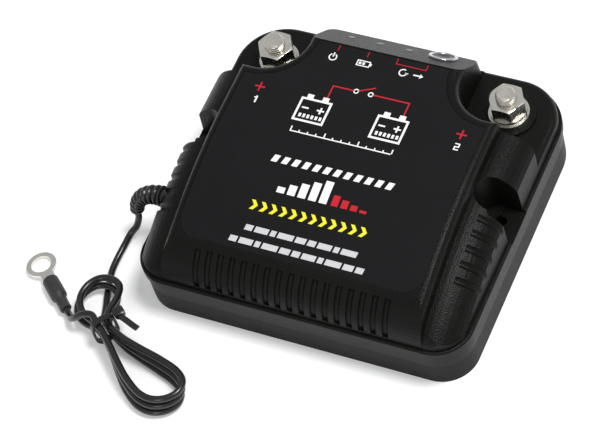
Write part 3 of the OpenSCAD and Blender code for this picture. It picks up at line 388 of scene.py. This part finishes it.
def hank_plan(i):
    """Place of ring i of one loop: along the hank from the tie, and across it."""
    n, m = RUN_RINGS
    f = FOLD_RINGS
    far_run, near_run = HANK_LONG - HANK_HW, HANK_SHORT - HANK_HW
    spread = HANK_HW - WAIST_HW
    if i <= n:
        return far_run * i / n, WAIST_HW + spread * bow(i, n)
    if i <= n + f:
        turn = math.pi * (i - n) / f
        return far_run + HANK_HW * math.sin(turn), HANK_HW * math.cos(turn)
    if i <= 2 * n + f:
        k = 2 * n + f - i
        return far_run * k / n, -WAIST_HW - spread * bow(k, n)
    if i <= 2 * n + f + m:
        k = i - 2 * n - f
        return -near_run * k / m, -WAIST_HW - spread * bow(k, m)
    if i <= 2 * n + 2 * f + m:
        turn = math.pi * (i - 2 * n - f - m) / f
        return -near_run - HANK_HW * math.sin(turn), -HANK_HW * math.cos(turn)
    k = LOOP_RINGS - i
    return -near_run * k / m, WAIST_HW + spread * bow(k, m)


def hank_point(i):
    """Ring i of the hank in space: loops rise turn by turn and fan out away from the tie."""
    along, across = hank_plan(i % LOOP_RINGS)
    turns = i / LOOP_RINGS
    if along > 0:
        share = min(along / (HANK_LONG - HANK_HW), 1)
        fan = FAN_LONG * (turns - FAN_MIDDLE[0])
    else:
        share = min(-along / (HANK_SHORT - HANK_HW), 1)
        fan = FAN_SHORT * (turns - FAN_MIDDLE[1]) + FAN_SHIFT
    side = across + fan * bow(share, 1) + HANK_BOW * along * along
    up = WIRE_R + RUN_CLEAR + HANK_LIFT * (1 - bow(share, 1)) + HANK_RISE * turns
    return Vector((TIE_AT[0] + along * math.cos(HANK_ANGLE) - side * math.sin(HANK_ANGLE),
                   TIE_AT[1] + along * math.sin(HANK_ANGLE) + side * math.cos(HANK_ANGLE), up))


relief_tip = Vector((RELIEF_WALL[0] - RELIEF_COLLAR - RELIEF_BEND_R,
                     RELIEF_WALL[1] - RELIEF_BEND_R * math.sin(RELIEF_LEAN),
                     RELIEF_WALL[2] - RELIEF_BEND_R * math.cos(RELIEF_LEAN)))
relief_down = Vector((0, -math.sin(RELIEF_LEAN), -math.cos(RELIEF_LEAN)))
hank_dir = Vector((math.cos(HANK_ANGLE), math.sin(HANK_ANGLE), 0))
boot_dir = Vector((math.cos(BOOT_ANGLE), math.sin(BOOT_ANGLE), 0))
hank_line = [hank_point(i) for i in range(HANK_RINGS + 1)]
lead_line = ([relief_tip, relief_tip + 2 * WIRE_R * relief_down] + LEAD_ROUTE
             + [hank_line[0] - 4 * WIRE_R * hank_dir, hank_line[0] - 2 * WIRE_R * hank_dir]
             + hank_line
             + [hank_line[-1] - 2 * WIRE_R * hank_dir, hank_line[-1] - 4 * WIRE_R * hank_dir]
             + TAIL_ROUTE + [Vector(BOOT_AT) - 2 * WIRE_R * boot_dir, Vector(BOOT_AT)])
lead_points = smooth_route(lead_line)

lead_curve = bpy.data.curves.new("ground_lead_wire", "CURVE")
lead_curve.dimensions = "3D"
lead_curve.bevel_depth = WIRE_R * MM
lead_curve.bevel_resolution = WIRE_ROUNDING
lead_curve.use_fill_caps = True
spline = lead_curve.splines.new("POLY")
spline.points.add(len(lead_points) - 1)
for target, point in zip(spline.points, lead_points):
    target.co = (*(point * MM), 1)
spline.use_smooth = True
lead = bpy.data.objects.new("ground_lead_wire", lead_curve)
bpy.context.scene.collection.objects.link(lead)
lead_curve.materials.append(vinyl)
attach(lead, "case")
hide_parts("ground_lead", "lead_hank", "lead_tail")

# Strain relief: a collar at the wall, then ribs that shrink round the bend
COLLAR_PROFILE = [(3.0, 2.9), (0.2, 3.0), (0.0, 3.9), (-0.2, 4.2), (-0.9, 4.2),
                  (-RELIEF_COLLAR, 3.9)]
RIB_STEPS = 12
RIB_SWELL = 0.45
VALLEY_RISE = 0.35
RELIEF_END_R = 2.3
RELIEF_SIDES = 28
relief_path, relief_radii = [], []
for x, r in COLLAR_PROFILE:
    relief_path.append(Vector((RELIEF_WALL[0] + x, RELIEF_WALL[1], RELIEF_WALL[2])))
    relief_radii.append(r)
for i in range(1, RELIEF_RIBS * RIB_STEPS + 1):
    share = i / (RELIEF_RIBS * RIB_STEPS)
    turn = share * math.pi / 2
    reach = RELIEF_BEND_R * math.sin(turn)
    drop = RELIEF_BEND_R * (1 - math.cos(turn))
    relief_path.append(Vector((RELIEF_WALL[0] - RELIEF_COLLAR - reach,
                               RELIEF_WALL[1] - drop * math.sin(RELIEF_LEAN),
                               RELIEF_WALL[2] - drop * math.cos(RELIEF_LEAN))))
    wave = 0.5 - 0.5 * math.cos(2 * math.pi * i / RIB_STEPS)
    crest = RELIEF_R[0] + (RELIEF_R[1] - RELIEF_R[0]) * share
    valley = min(RELIEF_CORE_R, crest) + VALLEY_RISE * (1 - share)
    relief_radii.append(valley + (crest - valley) * wave ** RIB_SWELL)
relief_radii[-1] = RELIEF_END_R
relief_verts = sweep(relief_path, relief_radii, RELIEF_SIDES)
relief = piece_from("strain_relief_boot", relief_verts,
                    rings_to_faces(len(relief_path), RELIEF_SIDES), relief_vinyl)
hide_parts("strain_relief")

# Terminal boot: two steps, rounded, over the crimp
BOOT_PROFILE = [(0, 1.5), (0, 2.1), (0.25, 2.36), (0.7, 2.4), (1.2, 2.3), (5.4, 2.36), (6.0, 2.55),
                (6.5, 3.0), (7.0, 3.24), (7.8, 3.3), (14.4, 3.3), (15.2, 3.2), (15.9, 3.24),
                (16.3, 3.1), (16.5, 2.8), (16.45, 2.35), (15.2, 2.25), (13, 2.25)]
BOOT_SIDES = 32
boot_side, boot_up = Vector((-boot_dir.y, boot_dir.x, 0)), Vector((0, 0, 1))
boot_verts = []
for l, r in BOOT_PROFILE:
    for k in range(BOOT_SIDES):
        turn = 2 * math.pi * k / BOOT_SIDES
        boot_verts.append(Vector(BOOT_AT) + l * boot_dir
                          + r * (math.cos(turn) * boot_side + math.sin(turn) * boot_up))
boot = piece_from("terminal_sleeve", boot_verts, rings_to_faces(len(BOOT_PROFILE), BOOT_SIDES),
                  boot_vinyl)
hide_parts("terminal_boot")

# Cable tie: a band round the waist, its head and a tail along the hank
TIE_W = 2.6
TIE_T = 1.0
TIE_GAP = 1.1
TIE_STEP = 15
tie_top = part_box("cable_tie")[1].z / MM
tie_hw = WAIST_HW + WIRE_R + TIE_GAP


def on_tie(along, across, up):
    return Vector((TIE_AT[0] + along * math.cos(HANK_ANGLE) - across * math.sin(HANK_ANGLE),
                   TIE_AT[1] + along * math.sin(HANK_ANGLE) + across * math.cos(HANK_ANGLE), up))


# Corners of the strap's section and the tail's, in half widths and half thicknesses
STRAP_SECTION = [(-1, -0.6), (-0.85, -1), (0.85, -1), (1, -0.6), (1, 0.6), (0.85, 1), (-0.85, 1),
                 (-1, 0.6)]
TAIL_SECTION = [(-1.15, -0.25), (-1, -0.4), (1, -0.4), (1.15, -0.25), (1.15, 0.25), (1, 0.4),
                (-1, 0.4), (-1.15, 0.25)]


def strap(path):
    """Flat strap with rounded edges along a closed path of (across, up) points."""
    verts = []
    for i, (u, v) in enumerate(path):
        a = path[i - 1] if i else path[-2]
        b = path[i + 1] if i < len(path) - 1 else path[1]
        d = math.hypot(b[0] - a[0], b[1] - a[1])
        nu, nv = -(b[1] - a[1]) / d, (b[0] - a[0]) / d
        for w, t in STRAP_SECTION:
            verts.append(on_tie(w * TIE_W / 2, u + nu * t * TIE_T / 2, v + nv * t * TIE_T / 2))
    return verts


tie_loop = []
tie_r = tie_hw + TIE_T / 2
for centre_v, start in [(tie_top - tie_r, 0), (tie_r, 180)]:
    for k in range(180 // TIE_STEP + 1):
        turn = math.radians(start + TIE_STEP * k)
        tie_loop.append((tie_r * math.cos(turn), centre_v + tie_r * math.sin(turn)))
tie_loop.append(tie_loop[0])
tie_loop = [(u, min(max(v, TIE_T / 2), tie_top - TIE_T / 2)) for u, v in tie_loop]
band_verts = strap(tie_loop)
band_faces = rings_to_faces(len(tie_loop), len(STRAP_SECTION))[:-2]

# Tail: its turn, start, rings with their step, and the height and pace of its wave
TAIL_TURN = math.radians(18)
TAIL_FROM = (2.2, tie_hw + TIE_T + 1.7, tie_top - 2.1)
TAIL_RINGS, TAIL_STEP = 13, 0.8
TAIL_WAVE, TAIL_PACE = 0.25, 0.5
tail_verts = []
for k in range(TAIL_RINGS):
    reach = TAIL_STEP * k
    for w, t in TAIL_SECTION:
        tail_verts.append(on_tie(
            TAIL_FROM[0] + reach * math.cos(TAIL_TURN) - w * math.sin(TAIL_TURN),
            TAIL_FROM[1] + reach * math.sin(TAIL_TURN) + w,
            TAIL_FROM[2] + t + TAIL_WAVE * math.sin(TAIL_PACE * k)))
offset = len(band_verts)
tail_faces = [tuple(offset + v for v in f)
              for f in rings_to_faces(TAIL_RINGS, len(TAIL_SECTION))]

# Head: heights and shares of its rounded box, its half width, place and corner
HEAD_RINGS = [(-4.2, 0.8), (-3.9, 1.0), (-1.3, 1.0), (-1.0, 0.8)]
HEAD_HW, HEAD_OUT, HEAD_SIDES, HEAD_CORNER = 2.2, 2.2, 16, 0.8
head_rings = []
for up, grow in HEAD_RINGS:
    for k in range(HEAD_SIDES):
        turn = 2 * math.pi * (k + 0.5) / HEAD_SIDES
        c, s = math.cos(turn), math.sin(turn)
        size = HEAD_HW * grow / max(abs(c), abs(s)) ** HEAD_CORNER
        head_rings.append(on_tie(size * c, tie_hw + TIE_T + HEAD_OUT + size * s, tie_top + up))
offset += len(tail_verts)
head_faces = [tuple(offset + v for v in f)
              for f in rings_to_faces(len(HEAD_RINGS), HEAD_SIDES)]
tie = piece_from("waist_tie", band_verts + tail_verts + head_rings,
                 band_faces + tail_faces + head_faces, tie_nylon)
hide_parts("cable_tie")

# Threaded studs with a hidden hexagon head
THREAD_SIDES = 48
THREAD_ROWS = 12
THREAD_PLAY = 0.04
THREAD_SLOPE = 1.5
THREAD_FLAT = 0.2
STUD_HEAD_R = 7.5
STUD_CHAMFER = 0.6


def stud_mesh(at):
    """Points and faces of a right-handed thread, chamfered at the stud's end."""
    verts = []
    rows = round((STUD_TOP_Z - STUD_HEAD_Z[1]) / THREAD_PITCH * THREAD_ROWS)
    for row in range(rows + 1):
        z = STUD_HEAD_Z[1] + (STUD_TOP_Z - STUD_HEAD_Z[1]) * row / rows
        for k in range(THREAD_SIDES):
            turn = k / THREAD_SIDES
            phase = (z / THREAD_PITCH - turn) % 1
            depth = min(1, max(0, THREAD_SLOPE * abs(2 * phase - 1) - THREAD_FLAT))
            r = THREAD_ROOT + (STUD_R - THREAD_PLAY - THREAD_ROOT) * depth
            r = min(r, STUD_R - STUD_CHAMFER + max(0, STUD_TOP_Z - z))
            verts.append((at[0] + r * math.cos(2 * math.pi * turn),
                          at[1] + r * math.sin(2 * math.pi * turn), z))
    return verts, rings_to_faces(rows + 1, THREAD_SIDES)


stud_verts, stud_faces = [], []
for at in STUDS:
    verts, faces = stud_mesh(at)
    stud_faces += [tuple(len(stud_verts) + v for v in f) for f in faces]
    stud_verts += verts
    head = []
    for z in STUD_HEAD_Z:
        for k in range(6):
            turn = 2 * math.pi * k / 6
            head.append((at[0] + STUD_HEAD_R * math.cos(turn),
                         at[1] + STUD_HEAD_R * math.sin(turn), z))
    stud_faces += [tuple(len(stud_verts) + v for v in f) for f in rings_to_faces(2, 6)]
    stud_verts += head
studs = piece_from("threaded_studs", stud_verts, stud_faces, thread_zinc)
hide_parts("terminal_studs")

# Spring of the contactor, copied to a mesh of its own and fixed to the case
spring = bpy.data.objects.new("return_spring_coil", nodes["return_spring"].data.copy())
bpy.context.scene.collection.objects.link(spring)
dress(spring, steel)
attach(spring, "case")
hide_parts("return_spring")
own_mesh(spring)

for node_name, width in [("flat_washers", 0.2), ("lock_washer_main", 0.25),
                         ("lock_washer_aux", 0.25), ("nut_main", 0.25), ("nut_aux", 0.25),
                         ("ring_terminal", 0.15), ("button_ring", 0.15), ("busbar_main", 0.2),
                         ("busbar_aux", 0.2)]:
    round_edges(nodes[node_name], width)

# Printed marks on the label, laid on its curved face
label_mesh = nodes["label_panel"].data
label_tree = BVHTree.FromPolygons([v.co.copy() for v in label_mesh.vertices],
                                  [tuple(p.vertices) for p in label_mesh.polygons])
LABEL_Y = (-51.0, 45)
LABEL_Z = 47
RAY_FROM = 100
INK_RISE = 0.05
INK_T = 0.04
INK_STEP = 3.0
ARC_STEPS = 20
CHEVRON_SLOPE = 0.8


def bar(x0, y0, x1, y1, lean=0.0):
    return [(x0, y0), (x1, y0), (x1 + lean, y1), (x0 + lean, y1)]


def arc_band(centre, r, width, start, end):
    turns = [math.radians(start + (end - start) * k / ARC_STEPS) for k in range(ARC_STEPS + 1)]
    outer = [(centre[0] + (r + width / 2) * math.cos(t), centre[1] + (r + width / 2) * math.sin(t))
             for t in turns]
    inner = [(centre[0] + (r - width / 2) * math.cos(t), centre[1] + (r - width / 2) * math.sin(t))
             for t in reversed(turns)]
    return outer + inner


def frame_of(x0, y0, x1, y1, w):
    """Outline of a box in four bars that meet at its corners."""
    return [bar(x0, y0, x1, y0 + w), bar(x0, y1 - w, x1, y1), bar(x0, y0 + w, x0 + w, y1 - w),
            bar(x1 - w, y0 + w, x1, y1 - w)]


def plus(x, y, arm, w):
    return [[(x - w, y - arm), (x + w, y - arm), (x + w, y - w), (x + arm, y - w), (x + arm, y + w),
             (x + w, y + w), (x + w, y + arm), (x - w, y + arm), (x - w, y + w), (x - arm, y + w),
             (x - arm, y - w), (x - w, y - w)]]


def chevron(x, y, h, w):
    tip = h * CHEVRON_SLOPE
    return [(x, y - h), (x + w, y - h), (x + w + tip, y), (x + w, y + h), (x, y + h), (x + tip, y)]


def print_marks(name, ink, shapes):
    """One printed colour: flat shapes laid on the label, each with a little thickness."""
    shaped = bmesh.new()
    for shape in shapes:
        shaped.faces.new([shaped.verts.new((x * MM, y * MM, 0)) for x, y in shape])
    shaped.normal_update()
    bmesh.ops.triangulate(shaped, faces=shaped.faces)
    y = LABEL_Y[0]
    while y < LABEL_Y[1]:
        geometry = shaped.verts[:] + shaped.edges[:] + shaped.faces[:]
        bmesh.ops.bisect_plane(shaped, geom=geometry, plane_co=(0, y * MM, 0), plane_no=(0, 1, 0))
        y += INK_STEP
    for vert in shaped.verts:
        start = Vector((vert.co.x, vert.co.y, RAY_FROM * MM))
        hit = label_tree.ray_cast(start, Vector((0, 0, -1)))[0]
        vert.co.z = (hit.z if hit else LABEL_Z * MM) + INK_RISE * MM
    bmesh.ops.recalc_face_normals(shaped, faces=shaped.faces)
    for face in shaped.faces:
        if face.normal.z < 0:
            face.normal_flip()
    mesh = bpy.data.meshes.new(name)
    shaped.to_mesh(mesh)
    shaped.free()
    obj = bpy.data.objects.new(name, mesh)
    bpy.context.scene.collection.objects.link(obj)
    skin = obj.modifiers.new("thickness", "SOLIDIFY")
    skin.thickness = INK_T * MM
    skin.offset = -1
    dress(obj, inks[ink])
    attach(obj, "case")


red_marks = plus(-41.5, 17, 2.1, 0.35) + plus(42.8, 16.7, 2.1, 0.35)
red_marks += [bar(-18.7, 41, -18.35, 43.6), bar(-6.3, 41, -5.95, 43.6)]
red_marks += [bar(5.9, 41.2, 6.25, 43.6), bar(5.9, 40.85, 18.7, 41.2), bar(18.35, 41.2, 18.7, 43.6)]
white_marks = [bar(-41, 9.4, -40.3, 12.6), bar(-41.7, 11.6, -41, 12.1)]
white_marks += [bar(42, 12.1, 44, 12.6), bar(43.5, 11.2, 44, 12.1), bar(42, 10.7, 44, 11.2),
                bar(42, 9.9, 42.5, 10.7), bar(42, 9.4, 44, 9.9)]

# Small signs for the indicators: power, battery and reset
white_marks += [arc_band((-19.3, 37.7), 1.5, 0.5, 120, 420), bar(-19.55, 37.8, -19.05, 39.9)]
white_marks += frame_of(-9.2, 36.4, -3.6, 39.2, 0.45)
white_marks += [bar(-3.6, 37.2, -3, 38.4), bar(-8.3, 37.2, -7.3, 38.4),
                bar(-6.8, 37.2, -5.8, 38.4)]
white_marks += [arc_band((10.2, 37.8), 1.5, 0.5, 60, 360),
                [(11, 37.9), (12.5, 37.9), (11.75, 36.9)]]
white_marks += [bar(14.5, 37.5, 17.4, 38.1), [(17.2, 36.7), (18.6, 37.8), (17.2, 38.9)]]

# Two batteries joined through a switch
for left in (-23.5, 8.5):
    white_marks += frame_of(left, 6, left + 13, 17, 0.9)
    white_marks += [bar(left + 2, 17, left + 4.6, 18.8), bar(left + 8.4, 17, left + 11, 18.8)]
    white_marks += [bar(left + 1.9, 12, left + 4.7, 12.7)]
    white_marks += plus(left + 9.7, 12.35, 1.5, 0.35)
    white_marks += [bar(left + 2 + 1.7 * k, 7.9, left + 3 + 1.7 * k, 9.6) for k in range(6)]
red_marks += [bar(-13.9, 18.8, -13.3, 24.5), bar(-13.9, 24.5, -4.6, 25.1)]
red_marks += [bar(2.6, 24.5, 18.5, 25.1), bar(17.9, 18.8, 18.5, 24.5)]
red_marks += [[(-3.6, 25.2), (-3.3, 24.7), (3.1, 27.9), (2.8, 28.4)]]
white_marks += [arc_band((-4, 24.8), 0.9, 0.5, 0, 350), arc_band((2.1, 24.8), 0.9, 0.5, 0, 350)]
white_marks += [bar(-22, 0.8, 20, 1.3)] + [bar(-22 + 3.5 * k, 1.3, -21.5 + 3.5 * k,
                                               2.1 + 1.1 * (k % 4 == 0)) for k in range(13)]

# Level bars, rows of arrows and dashes below
white_marks += [bar(-24 + 4.3 * k, -13.4, -21.6 + 4.3 * k, -10.4, 0.9) for k in range(12)]
white_marks += [bar(-17 + 4.4 * k, -25, -13.8 + 4.4 * k, -22.6 + 1.7 * k) for k in range(5)]
red_marks += [bar(5.6 + 3.9 * k, -25, 8.4 + 3.9 * k, -20.6 - 1.1 * k) for k in range(4)]
yellow_marks = [chevron(-25 + 4.1 * k, -31.9, 1.9, 1.6) for k in range(12)]
# Widths of the dashes with the gaps after them, and their lean
DASH_LEAN = 0.4
DASHES = [(3.2, 0.9), (5.6, 0.9), (2.2, 0.9), (6.4, 0.9), (4.2, 0.9)]


def dashes(x, end, low, high):
    made, i = [], 0
    while True:
        wide, gap = DASHES[i % len(DASHES)]
        if x + wide > end:
            return made
        made.append(bar(x, low, x + wide, high, DASH_LEAN))
        x += wide + gap
        i += 1


grey_marks = dashes(-24, 25, -41.8, -39.6) + dashes(-28.7, 29.5, -47, -44.8)
print_marks("print_red", "red", red_marks)
print_marks("print_white", "white", white_marks)
print_marks("print_yellow", "yellow", yellow_marks)
print_marks("print_grey", "grey", grey_marks)


# Floor and light: each lamp's name, place and size in metres and power in watts
LAMPS = [("key", (0.4, 0.1, 1.15), (0.35, 0.35), 11), ("front", (0.1, -1.1, 0.7), (0.3, 0.3), 2)]
LAMP_AIM = Vector((0, 0, 0.02))
FLOOR_COLOUR = (0.93, 0.93, 0.93)
FLOOR_ROUGH = 0.9
FLOOR_GLOW = 0.15
FLOOR_HALF = 6.0
WORLD_COLOUR = (0.97, 0.98, 1, 1)
WORLD_GLOW = 0.55


def lamp(name, place, size, power):
    data = bpy.data.lights.new(name, "AREA")
    data.shape = "RECTANGLE"
    data.size, data.size_y = size
    data.energy = power
    obj = bpy.data.objects.new(name, data)
    obj.location = place
    obj.rotation_euler = (LAMP_AIM - Vector(place)).to_track_quat("-Z", "Y").to_euler()
    bpy.context.scene.collection.objects.link(obj)


floor_mat, _, floor_shader = new_material("floor_pale", FLOOR_COLOUR, FLOOR_ROUGH)
floor_shader.inputs["Emission Color"].default_value = (1, 1, 1, 1)
floor_shader.inputs["Emission Strength"].default_value = FLOOR_GLOW
floor_mesh = bpy.data.meshes.new("floor")
floor_mesh.from_pydata([(x * FLOOR_HALF, y * FLOOR_HALF, 0)
                        for x, y in [(-1, -1), (1, -1), (1, 1), (-1, 1)]], [], [(0, 1, 2, 3)])
floor = bpy.data.objects.new("floor", floor_mesh)
bpy.context.scene.collection.objects.link(floor)
floor_mesh.materials.append(floor_mat)

world = bpy.data.worlds.new("studio")
bpy.context.scene.world = world
world.use_nodes = True
sky = world.node_tree.nodes["Background"]
sky.inputs["Color"].default_value = WORLD_COLOUR
sky.inputs["Strength"].default_value = WORLD_GLOW
for lamp_name, place, size, power in LAMPS:
    lamp(lamp_name, place, size, power)
